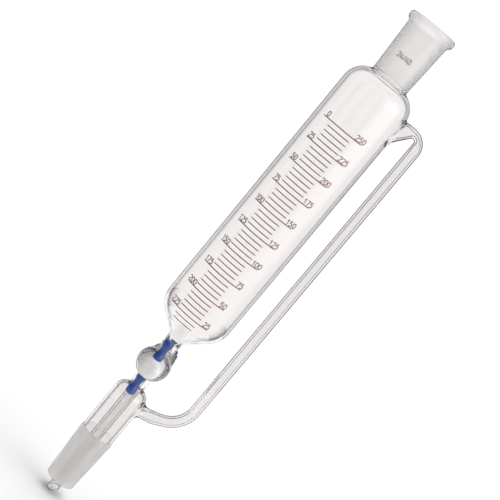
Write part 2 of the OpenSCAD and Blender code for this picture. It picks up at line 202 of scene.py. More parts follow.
def funnel_outline():
    """The closed outline of all the glass that shares the funnel's axis."""
    throat_r = 5.2
    cone_wall = 1.85
    inner_top = math.degrees(math.acos((NECK_BORE - SHOULDER_X) / (SHOULDER_R - WALL)))
    roof_x = JACKET_R - JACKET_SHOULDER
    roof_r = JACKET_SHOULDER - (JACKET_R - JACKET_IN)
    points = [
        (DRIP_BORE, TIP_Z, 0.55),
        (DRIP_R, TIP_Z, 0.7),
        (DRIP_R, 20, 0),
        (DRIP_R, JACKET_TOP + roof_r, 0.9),
    ]
    points.append((roof_x + 0.6, JACKET_TOP + roof_r, 0))
    points += arc(roof_x, JACKET_TOP, roof_r, 80, 0, 12)
    points += [
        (JACKET_IN, CONE_LEAD, 0),
        (JACKET_IN, -2, 2),
        (CONE_END_R - cone_wall, CONE_BOTTOM, 0.7),
        (CONE_END_R, CONE_BOTTOM, 1.2),
        (CONE_END_R + 0.1, CONE_BOTTOM + 2, 0),
        (JOINT_WIDE - 0.01, -0.2, 0),
        (JOINT_WIDE, 0.2, 0.3),
        (JACKET_R + 0.05, CONE_LEAD, 0.5),
        (JACKET_R, CONE_LEAD + 1.2, 0),
    ]
    points += ring_seal()
    points += [(LOW_STEM_R, COCK_Z - 4, 0), (STEM_R, COCK_Z + 4, 0)]
    points += [(STEM_R, dish_z(STEM_R, 0), 2.6)] + dish(0)[::-1]
    points += neck_fillet()
    points += [
        (NECK_R, SOCKET_SMALL, 0),
        (SOCKET_R, BEAD_Z, 1.6),
        (RIM_R, BEAD_Z + 2.7, 1.6),
        (RIM_R, SOCKET_TOP, 1.9),
        (JOINT_WIDE, SOCKET_TOP, 0.45),
        (JOINT_WIDE - 0.1, SOCKET_TOP - 1.5, 0),
        (JOINT_NARROW, SOCKET_SMALL, 0),
        (NECK_BORE, SOCKET_SMALL - 0.7, 0.4),
        (NECK_BORE, CYL_TOP + (SHOULDER_R - WALL) * math.sin(math.radians(inner_top)) + 0.1, 0.5),
    ]
    points += arc(SHOULDER_X, CYL_TOP, SHOULDER_R - WALL, inner_top - 3, 0, 16)
    points += dish(WALL)
    points += [
        (throat_r, dish_z(throat_r, WALL), 1.6),
        (STEM_BORE, 78.0, 5),
        (STEM_BORE, COCK_Z + 3, 0),
        (DRIP_BORE, COCK_Z - 3, 0),
    ]
    return rounded(points, closed=True)


def dish(inset):
    """The knuckle of the reservoir's bottom, from its cylinder down to its cone."""
    return arc(KNUCKLE_X, CYL_LOW, KNUCKLE_R - inset, 0, CONE_LEAN - 90, 16)


def dish_z(r, inset):
    """The height of the bottom's cone at a radius."""
    lean = math.radians(CONE_LEAN)
    knuckle = KNUCKLE_R - inset
    edge_r, edge_z = KNUCKLE_X + knuckle * math.sin(lean), CYL_LOW - knuckle * math.cos(lean)
    return edge_z - (edge_r - r) * math.tan(lean)


def slant_tip(obj):
    """Slants the drip tube's end, as a plane through it would."""
    start, blend = CONE_BOTTOM - 1.5, 4
    slope_x, slope_y = 0.3447, 0.4922
    for v in obj.data.vertices:
        z = v.co.z / MM
        if z < start and math.hypot(v.co.x, v.co.y) < (DRIP_R + 0.5) * MM:
            share = min(1.0, (start - z) / blend)
            v.co.z += share * (slope_x * v.co.x + slope_y * v.co.y)


def arm_route():
    """Stations along the side arm, from its flare's neck to its foot.

    Each has the arm's outer and inner edge in the XZ plane, and its half width across that plane.
    """
    stations = [((27.6, 278.2), (30.2, 269.2), 5.0), ((29.4, 278.1), (31.6, 271.0), 4.3)]
    for k in range(15):
        share = 1 - k / 14
        a, b = math.radians(90 * share), math.radians(132 * share)
        outer = (31.1 + 11.6 * math.cos(a), 266.4 + 11.6 * math.sin(a))
        inner = (33.6 + 1.5 * math.cos(b), 270.9 + 1.5 * math.sin(b))
        stations.append((outer, inner, ARM_HALF + 0.2 * share))
    straight_top, bend_z = 262, 54.5
    for k in range(12):
        z = straight_top - (straight_top - bend_z) * k / 11
        stations.append(((ARM_X + ARM_HALF, z), (ARM_X - ARM_HALF, z), ARM_HALF))
    bend_x, bend_r, turn = 18.2, 20.7, 63
    far, near = bend_r + ARM_HALF, bend_r - ARM_HALF
    for k in range(1, 19):
        a = math.radians(-turn * k / 18)
        c, s = math.cos(a), math.sin(a)
        outer, inner = (bend_x + far * c, bend_z + far * s), (bend_x + near * c, bend_z + near * s)
        stations.append((outer, inner, ARM_HALF))
    (far_x, far_z), (near_x, near_z), _ = stations[-1]
    dx, dz = -math.sin(math.radians(turn)), -math.cos(math.radians(turn))
    for reach, spread in ((3, 0.1), (5.5, 0.35), (7.5, 0.8)):
        stations.append((
            (far_x + dx * reach - dz * spread * 0.2, far_z + dz * reach),
            (near_x + dx * reach, near_z + dz * reach + spread),
            ARM_HALF + spread * 0.6,
        ))
    return stations


def reservoir_radius(z, inset):
    """The reservoir's radius at a height, at its outer surface or a distance inside it."""
    if z <= CYL_TOP:
        return RES_R - inset
    return SHOULDER_X + math.sqrt(max((SHOULDER_R - inset) ** 2 - (z - CYL_TOP) ** 2, 0))


def jacket_radius(z, inset):
    if z <= JACKET_TOP:
        return JACKET_R - inset
    reach = JACKET_SHOULDER - inset
    return JACKET_R - JACKET_SHOULDER + math.sqrt(max(reach**2 - (z - JACKET_TOP) ** 2, 0))


def landing(ring, behind, radius_at, inset, middle, tall, wide, flip, sink):
    """Rings that carry a round tube's end, with a smooth flare, onto a turned wall.

    The flare ends on an oval round the height middle, tall and wide across half of it.  flip is 1 where
    the ring starts at the oval's top and -1 at its bottom, and the last ring sinks into the wall.
    """
    steps = 12
    columns = []

    def on_wall(y, z, inset):
        return Vector((math.sqrt(radius_at(z, inset) ** 2 - y * y), y, z))

    for k, start in enumerate(ring):
        a = 2 * math.pi * k / len(ring)
        z = middle + flip * tall * math.cos(a)
        y = wide * math.sin(a)
        end = on_wall(y, z, inset)
        inward = on_wall(y * 0.9, middle + (z - middle) * 0.9, inset) - end
        gap = (end - start).length
        p1 = start + (start - behind[k]).normalized() * gap * 0.42
        p2 = end + inward.normalized() * gap * 0.5
        column = []
        for j in range(1, steps + 1):
            t = j / steps
            u = 1 - t
            column.append(start * u**3 + p1 * 3 * t * u**2 + p2 * 3 * t * t * u + end * t**3)
        column.append(on_wall(y, z, inset + sink))
        columns.append(column)
    return [[column[j] for column in columns] for j in range(len(columns[0]))]


def arm_solid(name, inset, high, low, segments=48):
    """The side arm as a solid bar, or its bore, flared onto the reservoir and the jacket."""
    tube = []
    for (far_x, far_z), (near_x, near_z), width in arm_route():
        far, near = Vector((far_x, 0, far_z)), Vector((near_x, 0, near_z))
        centre, side = (far + near) / 2, (far - near) / 2
        side *= 1 - inset / side.length
        tube.append([
            centre + side * math.cos(a) + Vector((0, (width - inset) * math.sin(a), 0))
            for a in (2 * math.pi * k / segments for k in range(segments))
        ])
    top = landing(tube[0], tube[1], reservoir_radius, *high)
    foot = landing(tube[-1], tube[-2], jacket_radius, *low)
    rings = top[::-1] + tube + foot
    verts = [tuple(p) for ring in rings for p in ring]
    faces = []
    for i in range(len(rings) - 1):
        for k in range(segments):
            m = (k + 1) % segments
            a, b = i * segments, (i + 1) * segments
            faces.append((a + k, a + m, b + m, b + k))
    for i, ring in ((0, rings[0]), (len(rings) - 1, rings[-1])):
        centre = sum(ring, Vector()) / segments
        verts.append(tuple(centre))
        for k in range(segments):
            m = (k + 1) % segments
            edge = (i * segments + k, i * segments + m, len(verts) - 1)
            faces.append(edge if i else tuple(reversed(edge)))
    return make(name, verts, faces)


def saddle_fillet(name, stem_r, sign):
    """A ring of glass that fills the corner between the barrel and a stem."""
    rise, reach, mid, sink = 2.6, 2.4, stem_r - 1.1, 1.2
    segments, steps = 96, 8

    def barrel_z(x, y):
        share = (y - BARREL_FRONT) / (BARREL_REAR - BARREL_FRONT)
        radius = BARREL_WIDE + (BARREL_SLIM - BARREL_WIDE) * share
        return math.sqrt(max(radius**2 - x * x, 1.0))

    columns = []
    for k in range(segments):
        a = 2 * math.pi * k / segments
        c, s = math.cos(a), math.sin(a)
        near = stem_r - 0.02
        foot = barrel_z(near * c, near * s)
        far = near + reach
        low = barrel_z(far * c, far * s) - 0.03
        start, corner, end = (near, foot + rise), (near, foot), (far, low)
        column = []
        for j in range(steps + 1):
            t = j / steps
            r = (1 - t) ** 2 * start[0] + 2 * t * (1 - t) * corner[0] + t * t * end[0]
            h = (1 - t) ** 2 * start[1] + 2 * t * (1 - t) * corner[1] + t * t * end[1]
            column.append((r, h))
        column += [(far, low - sink), (mid, foot - sink), (mid, foot + rise)]
        columns.append([(r * c, r * s, COCK_Z + sign * h) for r, h in column])
    verts = [point for column in columns for point in column]
    faces = []
    count = len(columns[0])
    for k in range(segments):
        m = (k + 1) % segments
        for j in range(count):
            n = (j + 1) % count
            faces.append((k * count + j, m * count + j, m * count + n, k * count + n))
    return make(name, verts, faces)


def build_glass():
    """All the glass as one closed skin, with its bores.

    The side arm's two landings are (inset, middle, tall, wide, flip, sink).
    """
    glass = lathe("glass_body", funnel_outline(), closed=True)
    slant_tip(glass)

    outer = arm_solid(
        "arm_outer", 0, (0.03, 267.2, 12.0, 9.8, 1, 0.75), (0.03, 30.1, 7.8, 6.2, -1, 0.7),
    )
    boolean(glass, outer, "UNION")

    barrel = rounded([
        (0, BARREL_FRONT, 0), (BARREL_BEAD, BARREL_FRONT, 1.1), (BARREL_BEAD, BARREL_FRONT + 2.6, 1.0),
        (BARREL_WIDE - 0.05, BARREL_FRONT + 3.0, 0.8), (BARREL_SLIM, BARREL_REAR, 1.0), (0, BARREL_REAR, 0),
    ])
    boolean(glass, lathe("barrel_outer", barrel, about_cock), "UNION")
    boolean(glass, saddle_fillet("fillet_high", STEM_R, 1), "UNION")
    boolean(glass, saddle_fillet("fillet_low", LOW_STEM_R, -1), "UNION")

    bore = [
        (0, BARREL_FRONT - 2), (8.4, BARREL_FRONT - 2), (8.4, BARREL_FRONT - 0.3),
        (7.55, BARREL_FRONT + 0.35), (7.2, BARREL_FRONT + 0.9), (4.34, BARREL_REAR - 0.5),
        (4.6, BARREL_REAR), (5.2, BARREL_REAR + 0.3), (5.2, BARREL_REAR + 2), (0, BARREL_REAR + 2),
    ]
    boolean(glass, lathe("barrel_bore", bore, about_cock), "DIFFERENCE")
    port_r, reach = 2.2, 14
    port = [(0, COCK_Z - reach), (port_r, COCK_Z - reach), (port_r, COCK_Z + reach), (0, COCK_Z + reach)]
    boolean(glass, lathe("port", port, segments=64), "DIFFERENCE")
    bore = arm_solid(
        "arm_bore", ARM_WALL, (WALL + 0.03, 267.4, 9.8, 8.4, 1, 1.2), (1.53, 29.3, 5.8, 4.6, -1, 1.2), 40,
    )
    boolean(glass, bore, "DIFFERENCE")
    return glass


# ---------------------------------------------------------------- materials
def new_material(name):
    mat = bpy.data.materials.new(name)
    mat.use_nodes = True
    nt = mat.node_tree
    return mat, nt, nt.nodes["Principled BSDF"]


def node(nt, kind, **values):
    n = nt.nodes.new(kind)
    for key, value in values.items():
        if key in n.inputs:
            n.inputs[key].default_value = value
        else:
            setattr(n, key, value)
    return n


def noise(nt, scale, detail=4.0, stretch=(1, 1, 1)):
    """A noise texture in the object's own metres."""
    coords = node(nt, "ShaderNodeTexCoord")
    mapping = node(nt, "ShaderNodeMapping")
    mapping.inputs["Scale"].default_value = stretch
    tex = node(nt, "ShaderNodeTexNoise", Scale=scale, Detail=detail)
    nt.links.new(coords.outputs["Object"], mapping.inputs["Vector"])
    nt.links.new(mapping.outputs["Vector"], tex.inputs["Vector"])
    return tex.outputs["Fac"]


def ramp(nt, source, stops):
    """A colour ramp fed by a value. stops are (place, colour)."""
    n = node(nt, "ShaderNodeValToRGB")
    while len(n.color_ramp.elements) < len(stops):
        n.color_ramp.elements.new(0.5)
    for element, (place, colour) in zip(n.color_ramp.elements, stops):
        element.position = place
        element.color = (*colour, 1)
    nt.links.new(source, n.inputs["Fac"])
    return n.outputs["Color"]


def colour(nt, source, bsdf, *stops):
    """Lets a value choose the base colour."""
    nt.links.new(ramp(nt, source, stops), bsdf.inputs["Base Color"])


def roughness(nt, source, bsdf, low, high):
    """Lets a value choose the roughness, between two levels."""
    stops = [(0.3, (low, low, low)), (0.7, (high, high, high))]
    nt.links.new(ramp(nt, source, stops), bsdf.inputs["Roughness"])


def bump(nt, source, bsdf, strength, distance):
    n = node(nt, "ShaderNodeBump", Strength=strength, Distance=distance)
    nt.links.new(source, n.inputs["Height"])
    nt.links.new(n.outputs["Normal"], bsdf.inputs["Normal"])


GLASS_IOR = 1.473


def glass_material(name, body, edge, start, end, rough=0.0):
    """Clear borosilicate. Painted shade: where the surface is seen at a grazing angle its base colour
    darkens from body towards edge, standing in for the dark edge lines that the surroundings give through
    real glass.
    """
    mat, nt, bsdf = new_material(name)
    bsdf.inputs["Transmission Weight"].default_value = 1
    bsdf.inputs["Roughness"].default_value = rough
    bsdf.inputs["IOR"].default_value = GLASS_IOR
    facing = node(nt, "ShaderNodeLayerWeight", Blend=0.5)
    warm, dark = (body, body * 0.982, body * 0.978), (edge, edge, edge * 1.02)
    # Painted shade: the facing value takes the base colour from the body tint down to the edge level at
    # grazing angles.
    colour(nt, facing.outputs["Facing"], bsdf, (0, warm), (start, warm), (end, dark))
    bump(nt, noise(nt, 45, 2, (1, 1, 0.12)), bsdf, 0.06, 0.0001)
    return mat


def ground_material(name, level):
    """Frosted glass, ground to a joint."""
    mat, nt, bsdf = new_material(name)
    bsdf.inputs["Transmission Weight"].default_value = 1
    bsdf.inputs["IOR"].default_value = GLASS_IOR
    grain = noise(nt, 2600, 6)
    deep, bright = (level * 0.92, level * 0.91, level * 0.9), (level, level * 0.99, level * 0.98)
    colour(nt, grain, bsdf, (0.25, deep), (0.75, bright))
    roughness(nt, grain, bsdf, 0.5, 0.72)
    bump(nt, grain, bsdf, 0.6, 0.00006)
    return mat


def enamel_material():
    """Dark red-brown fired enamel."""
    mat, nt, bsdf = new_material("enamel_print")
    ink = noise(nt, 1400, 5)
    colour(nt, ink, bsdf, (0.3, (0.13, 0.007, 0.009)), (0.7, (0.21, 0.014, 0.018)))
    roughness(nt, ink, bsdf, 0.35, 0.55)
    bump(nt, ink, bsdf, 0.3, 0.00003)
    return mat


def ptfe_material():
    """Turned PTFE: waxy white, with fine tool marks round the stopcock's axis."""
    mat, nt, bsdf = new_material("ptfe_turned")
    coords = node(nt, "ShaderNodeTexCoord")
    split = node(nt, "ShaderNodeSeparateXYZ")
    nt.links.new(coords.outputs["Object"], split.inputs["Vector"])
    level = node(nt, "ShaderNodeMath", operation="SUBTRACT")
    level.inputs[1].default_value = COCK_Z * MM
    nt.links.new(split.outputs["Z"], level.inputs[0])
    flat = node(nt, "ShaderNodeCombineXYZ")
    nt.links.new(split.outputs["X"], flat.inputs["X"])
    nt.links.new(level.outputs[0], flat.inputs["Y"])
    length = node(nt, "ShaderNodeVectorMath", operation="LENGTH")
    nt.links.new(flat.outputs[0], length.inputs[0])
    both = node(nt, "ShaderNodeMath", operation="ADD")
    nt.links.new(length.outputs["Value"], both.inputs[0])
    nt.links.new(split.outputs["Y"], both.inputs[1])
    wave = node(nt, "ShaderNodeMath", operation="MULTIPLY")
    tool_mark = 0.28 * MM
    wave.inputs[1].default_value = 2 * math.pi / tool_mark
    nt.links.new(both.outputs[0], wave.inputs[0])
    sine = node(nt, "ShaderNodeMath", operation="SINE")
    nt.links.new(wave.outputs[0], sine.inputs[0])
    cloud = noise(nt, 260, 4)
    mix = node(nt, "ShaderNodeMath", operation="MULTIPLY_ADD")
    mix.inputs[1].default_value = 0.25
    nt.links.new(sine.outputs[0], mix.inputs[0])
    nt.links.new(cloud, mix.inputs[2])
    colour(nt, cloud, bsdf, (0.3, (0.80, 0.79, 0.78)), (0.7, (0.88, 0.875, 0.87)))
    roughness(nt, cloud, bsdf, 0.34, 0.46)
    bsdf.inputs["Subsurface Weight"].default_value = 0.25
    bsdf.inputs["Subsurface Scale"].default_value = 0.0015
    bump(nt, mix.outputs[0], bsdf, 0.35, 0.00003)
    return mat


def blue_material():
    """Satin blue moulding."""
    mat, nt, bsdf = new_material("blue_moulded")
    grain = noise(nt, 1100, 5)
    cloud = noise(nt, 90, 3)
    colour(nt, cloud, bsdf, (0.3, (0.030, 0.068, 0.28)), (0.7, (0.038, 0.082, 0.34)))
    roughness(nt, grain, bsdf, 0.26, 0.38)
    bump(nt, grain, bsdf, 0.1, 0.00002)
    return mat


def rubber_material():
    """Matt black rubber."""
    mat, nt, bsdf = new_material("black_rubber_ring")
    grain = noise(nt, 1800, 5)
    colour(nt, grain, bsdf, (0.3, (0.012, 0.012, 0.013)), (0.7, (0.03, 0.03, 0.031)))
    roughness(nt, grain, bsdf, 0.55, 0.8)
    bump(nt, grain, bsdf, 0.3, 0.00004)
    return mat


def closest_on_route(point):
    """Distance from a point to the side arm's middle line."""
    best = 1e9
    stops = [Vector(((a + c) / 2, 0, (b + d) / 2)) for (a, b), (c, d), _ in arm_route()]
    for a, b in zip(stops, stops[1:]):
        step = b - a
        share = min(1.0, max(0.0, (point - a).dot(step) / step.length_squared))
        best = min(best, (point - a - step * share).length)
    return best


def paint(obj, *materials):
    obj.data.materials.clear()
    for m in materials:
        obj.data.materials.append(m)


# ---------------------------------------------------------------- the scale
def wall_radius(z):
    """The reservoir's outer radius on its cylinder or its knuckle."""
    if z >= CYL_LOW:
        return RES_R
    return KNUCKLE_X + math.sqrt(KNUCKLE_R**2 - (CYL_LOW - z) ** 2)


def band_arc(height, span, width, turn=-6.0):
    """Points of one enamel line on the reservoir, as vertices and faces."""
    steps = max(8, int(span / 2.5))
    verts, faces = [], []
    sunk, raised, half, slope = -0.03, 0.07, width / 2, 0.03
    corners = ((sunk, -half), (raised, -half + slope), (raised, half - slope), (sunk, half))
    for k in range(steps + 1):
        a = math.radians(turn - 90 + span * (k / steps - 0.5))
        for lift, z in corners:
            r = wall_radius(height + z) + lift
            verts.append((r * math.cos(a), r * math.sin(a), height + z))
    for k in range(steps):
        for j in range(4):
            n = (j + 1) % 4
            faces.append((4 * k + j, 4 * k + n, 4 * k + 4 + n, 4 * k + 4 + j))
    faces.append((3, 2, 1, 0))
    faces.append(tuple(4 * steps + j for j in range(4)))
    return verts, faces


def join_parts(name, parts):
    """One object made of several closed meshes."""
    verts, faces = [], []
    for v, f in parts:
        base = len(verts)
        f = outward(v, f)
        verts += v
        faces += [tuple(base + i for i in face) for face in f]
    return make(name, verts, faces)


def stroke(points, closed, width):
    """A pen stroke along points, as a flat ribbon with its two edges."""
    verts, faces = [], []
    path = [Vector(p) for p in points]
    count = len(path)
    for i, here in enumerate(path):
        before = path[i - 1] if closed or i else here
        after = path[(i + 1) % count] if closed or i + 1 < count else here
        legs = [leg.normalized() for leg in (here - before, after - here) if leg.length > 1e-9]
        along = sum(legs, Vector((0, 0))).normalized()
        lean = max(along.dot(legs[0]), 0.6)
        side = Vector((-along.y, along.x)) * width / 2 / lean
        verts += [here - side, here + side]
    for i in range(count if closed else count - 1):
        m = (i + 1) % count
        faces.append((2 * i, 2 * m, 2 * m + 1, 2 * i + 1))
    return verts, faces


def bowl(cx, cy, rx, ry, start, end, steps=12):
    """Points on an ellipse from one angle to another, in degrees."""
    angles = np.radians(np.linspace(start, end, steps + 1))
    return [(cx + rx * math.cos(a), cy + ry * math.sin(a)) for a in angles]


# Each figure's pen strokes, in a box one unit tall: width, strokes, whether they close.
FIGURES = {
    "0": (0.72, [bowl(0.36, 0.68, 0.24, 0.26, 0, 180) + bowl(0.36, 0.32, 0.24, 0.26, 180, 360)], True),
    "1": (0.6, [[(0.12, 0.7), (0.36, 0.93), (0.36, 0.06)]], False),
    "2": (0.72, [bowl(0.36, 0.68, 0.24, 0.26, 165, -28) + [(0.12, 0.06), (0.62, 0.06)]], False),
    "4": (0.72, [[(0.46, 0.94), (0.1, 0.28), (0.66, 0.28)], [(0.48, 0.5), (0.48, 0.06)]], False),
    "5": (
        0.72,
        [[(0.58, 0.94), (0.18, 0.94), (0.15, 0.54)] + bowl(0.34, 0.34, 0.25, 0.29, 118, -145)],
        False,
    ),
    "7": (0.7, [[(0.1, 0.94), (0.6, 0.94), (0.28, 0.06)]], False),
    "/": (0.5, [[(0.08, 0.02), (0.42, 0.98)]], False),
}


def text_mesh(text, size, squeeze, pen):
    """Flat lettering drawn with a flat pen, centred: points, faces and outer edges, in millimetres."""
    verts, faces = [], []
    x = -sum(FIGURES[letter][0] for letter in text) * squeeze / 2
    for letter in text:
        advance, strokes, closed = FIGURES[letter]
        for points in strokes:
            line, quads = stroke([(px * squeeze, py) for px, py in points], closed, pen / size)
            base = len(verts)
            verts += [((p.x + x) * size, p.y * size) for p in line]
            faces += [tuple(base + i for i in quad) for quad in quads]
        x += advance * squeeze
    sides = {}
    for face in faces:
        for a, b in zip(face, face[1:] + face[:1]):
            sides[frozenset((a, b))] = sides.get(frozenset((a, b)), 0) + 1
    edges = [tuple(edge) for edge, uses in sides.items() if uses == 1]
    return verts, faces, edges


def wrapped_text(text, size, radius_at, turn, height, squeeze=1.0, pen=0.54):
    """Lettering laid on a round wall at an angle from the front and a height."""
    flat, faces, edges = text_mesh(text, size, squeeze, pen)
    verts = []
    for lift in (-0.04, 0.07):
        for x, y in flat:
            r = radius_at(height + y)
            a = math.radians(turn - 90) + x / r
            verts.append(((r + lift) * math.cos(a), (r + lift) * math.sin(a), height + y))
    n = len(flat)
    top = [tuple(i + n for i in f) for f in faces]
    bottom = [tuple(reversed(f)) for f in faces]
    used = {(a, b) for f in faces for a, b in zip(f, f[1:] + f[:1])}
    sides = []
    for a, b in edges:
        if (a, b) not in used:
            a, b = b, a
        sides.append((b, a, a + n, b + n))
    return verts, top + bottom + sides


def build_scale():
    """Each printed piece's closed meshes, and the node that they replace."""
    short_lines, last_short = 4, 3
    major = [band_arc(SCALE_ZERO - i * STEP, 75.4, 0.6) for i in range(LINES)]
    minor = []
    for i in range(LINES):
        for j in range(1, short_lines + 1):
            if i < LINES - 1 or j < last_short:
                minor.append(band_arc(SCALE_ZERO - (i + j / 5) * STEP, 40.4, 0.56))
    size, figure_z = 3.6, SCALE_ZERO + 0.5
    left, right = [], []
    for i in range(LINES):
        height = figure_z - i * STEP
        left.append(wrapped_text(str(25 * i), size, wall_radius, -36.6, height))
        right.append(wrapped_text(str(250 - 25 * i), size, wall_radius, 26.5, height))
    taper = (SOCKET_R - NECK_R) / (BEAD_Z - SOCKET_SMALL)

    def socket_radius(z):
        return NECK_R + (z - SOCKET_SMALL) * taper

    mark = [wrapped_text("24/40", size, socket_radius, -5, SOCKET_SMALL + 12.2, 0.84, 0.44)]
    return {
        "major_lines": (major, "major_graduations"),
        "minor_lines": (minor, "minor_graduations"),
        "left_figures": (left, "left_numerals"),
        "right_figures": (right, "right_numerals"),
        "joint_size_figures": (mark, "joint_size_mark"),
    }


# ---------------------------------------------------------------- the stopcock
HEAD_BACK, HEAD_FRONT, HEAD_R = -15.8, -29.5, 7.6
HEAD_ROUND = 4.5
HANDLE_Y = -24.6
TAIL_R, TAIL_END = 4.0, 27.6
WASHER_Y, WASHER_R, WASHER_T = 14.0, 6.6, 1.4
RING_Y, RING_R, RING_SECTION = 16.7, 5.7, 1.3
NUT_Y, NUT_R, NUT_T, NUT_RIBS = 18.3, 7.6, 6.8, 12
TAIL_HOLE_R = 4.3


def without_fillets(points):
    return [(r, h) for r, h, _ in points]


def build_plug():
    """The tapered plug, with its domed head, its cross bore and the thread on its tail."""
    taper_wide, taper_slim = 7.12, 4.22
    profile = [(0, HEAD_FRONT)]
    profile += without_fillets(arc(HEAD_R - HEAD_ROUND, HEAD_FRONT + HEAD_ROUND, HEAD_ROUND, -90, 0, 14))
    thread_start, thread_end, root = 22.4, 26.6, 3.62
    profile += rounded([
        (HEAD_R, HEAD_FRONT + HEAD_ROUND + 0.1, 0),
        (HEAD_R, HEAD_BACK, 0.6),
        (taper_wide, HEAD_BACK, 0.15),
        (taper_wide, BARREL_FRONT, 0),
        (taper_slim, BARREL_REAR, 0),
        (TAIL_R, BARREL_REAR + 0.2, 0),
        (TAIL_R, thread_start, 0),
    ])
    y = thread_start
    while y < thread_end:
        profile += [(TAIL_R, y), (root, y + 0.35), (root, y + 0.55), (TAIL_R, y + 0.9)]
        y += 1.0
    profile += [(TAIL_R, TAIL_END - 0.8), (TAIL_R - 0.8, TAIL_END), (0, TAIL_END)]
    plug = lathe("ptfe_plug", profile, about_cock, segments=96)
    hole_r, reach = 2, 20
    hole = [(0, COCK_Z - reach), (hole_r, COCK_Z - reach), (hole_r, COCK_Z + reach), (0, COCK_Z + reach)]
    boolean(plug, lathe("plug_hole", hole, segments=48), "DIFFERENCE")
    return plug


def build_handle():
    """The blue cross bar: a round bar with two waists through the plug's head."""
    top, thick, thin, tip_round = 21.1, 3.2, 2.45, 1.5
    waist_start, waist_middle, waist_r = 5.0, 13, 11
    half = []
    for k in range(41):
        s = k / 40 * (top - tip_round)
        r = thin
        if s >= waist_start:
            r = min(thick, thin + waist_r - math.sqrt(waist_r**2 - (s - waist_middle) ** 2))
        half.append((r, s))
    half += without_fillets(arc(thick - tip_round, top - tip_round, tip_round, 0, 90, 8))[1:]
    half.append((0, top))
    profile = [(r, -s) for r, s in reversed(half)] + half[1:]

    def place(r, h, a):
        return (r * math.cos(a), HANDLE_Y + r * math.sin(a), COCK_Z + h)

    return lathe("blue_handle", profile, place, segments=48)


def build_washer():
    """The flat PTFE washer."""
    back = WASHER_Y + WASHER_T
    outline = [
        (TAIL_HOLE_R, WASHER_Y, 0.1), (WASHER_R, WASHER_Y, 0.25), (WASHER_R, back, 0.25),
        (TAIL_HOLE_R, back, 0.1),
    ]
    return lathe("ptfe_washer", rounded(outline, closed=True), about_cock, closed=True, segments=72)


def build_ring():
    """The rubber ring."""
    section = without_fillets(arc(RING_R, RING_Y, RING_SECTION, 0, 360, 20))[:-1]
    return lathe("rubber_ring", section, about_cock, closed=True, segments=72)


def build_nut():
    """The ribbed nut: a lathed body whose radius is scalloped."""
    back, rib_start, rib_depth = NUT_Y + NUT_T, NUT_Y + 1.0, 0.75
    profile = rounded([
        (TAIL_HOLE_R, NUT_Y, 0.2), (NUT_R, NUT_Y, 0.4), (NUT_R, NUT_Y + 1.1, 0.1), (NUT_R, back, 0.8),
        (TAIL_HOLE_R, back, 0.4),
    ], closed=True)
    dense = []
    for (r0, h0), (r1, h1) in zip(profile, profile[1:] + profile[:1]):
        steps = max(1, int(math.hypot(r1 - r0, h1 - h0) / 0.5))
        dense += [(r0 + (r1 - r0) * k / steps, h0 + (h1 - h0) * k / steps) for k in range(steps)]

    def place(r, h, a):
        depth = max(0.0, math.cos(NUT_RIBS * a)) ** 2 * rib_depth
        fade = min(1.0, max(0.0, (h - rib_start) / 0.6))
        if r > 6:
            r -= depth * fade
        return about_cock(r, h, a)

    return lathe("blue_nut", dense, place, closed=True, segments=192)


# ---------------------------------------------------------------- assembly
# The glass body's materials, in the order of its slots. In each clear glass the number after body is the
# painted edge shade that its colour darkens to at grazing angles, near black on the inner walls.
GLASS_LOOKS = {
    "wall": glass_material("clear_glass_wall", 0.94, 0.66, 0.7, 0.95),
    "inside": glass_material("clear_glass_inside", 0.94, 0.015, 0.6, 0.82),
    "socket": ground_material("ground_glass_socket", 1.0),
    "tube": glass_material("clear_glass_tube", 0.9, 0.02, 0.37, 0.6),
    "tube_inside": glass_material("clear_glass_tube_inside", 0.9, 0.05, 0.3, 0.6),
    "jacket": glass_material("clear_glass_jacket", 0.88, 0.3, 0.6, 0.9),
    "jacket_inside": glass_material("clear_glass_jacket_inside", 0.88, 0.003, 0.44, 0.72),
    "barrel": glass_material("stopcock_barrel_glass", 0.94, 0.55, 0.7, 1.0, 0.1),
    "barrel_bore": glass_material("stopcock_bore_glass", 0.92, 0.7, 0.7, 1.0, 0.35),
    "stem": glass_material("clear_glass_stem", 0.95, 0.04, 0.62, 0.92),
    "stem_inside": glass_material("clear_glass_stem_inside", 0.95, 0.1, 0.45, 0.75),
    "cone": ground_material("ground_glass_cone", 0.93),
    "knuckle_inside": glass_material("clear_glass_knuckle_inside", 0.93, 0.005, 0.38, 0.68),
}


def glass_look(c, n):
    """The look of a face of the glass, from its middle in millimetres and its normal."""
    r = math.hypot(c.x, c.y)
    radial = (n.x * c.x + n.y * c.y) / max(r, 1e-6)
    across = math.hypot(c.x, c.z - COCK_Z)
    inward = radial < -0.2
    look = "wall"
    if radial < -0.3:
        look = "knuckle_inside" if 92 < c.z < 108 else "inside"
    if r < 12.6 and c.z < 42:
        look = "jacket_inside" if radial < -0.3 else "jacket"
    if r < 6.5 and c.z < 84:
        look = "tube_inside" if inward else "tube"
        if c.z > 38:
            look = "stem_inside" if inward else "stem"
    if c.x > 25 or (c.x > 13 and c.z < 60):
        look = "tube_inside" if closest_on_route(c) < 3.1 else "tube"
    if 4.2 < across < 11.8 and BARREL_FRONT - 0.5 < c.y < BARREL_REAR + 0.6:
        toward = (n.x * c.x + n.z * (c.z - COCK_Z)) / across
        if r > 6.4 or toward < 0:
            look = "barrel_bore" if toward < -0.5 else "barrel"
    if SOCKET_SMALL < c.z < SOCKET_TOP - 0.4 and radial < -0.5:
        look = "socket"
    if CONE_BOTTOM - 0.1 < c.z < CONE_LEAD and r > CONE_END_R - 1 and radial > 0.15:
        look = "cone"
    return look


glass = build_glass()
smooth(glass, 42)
paint(glass, *GLASS_LOOKS.values())
slots = {look: index for index, look in enumerate(GLASS_LOOKS)}
for face in glass.data.polygons:
    face.material_index = slots[glass_look(face.center / MM, face.normal)]
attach(glass, "glass_body")
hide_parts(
    "upper_socket", "reservoir_shoulder", "reservoir_cylinder", "reservoir_bottom",
    "outlet_stem", "stopcock_barrel", "drip_tube", "vapour_jacket", "lower_cone", "side_arm",
)

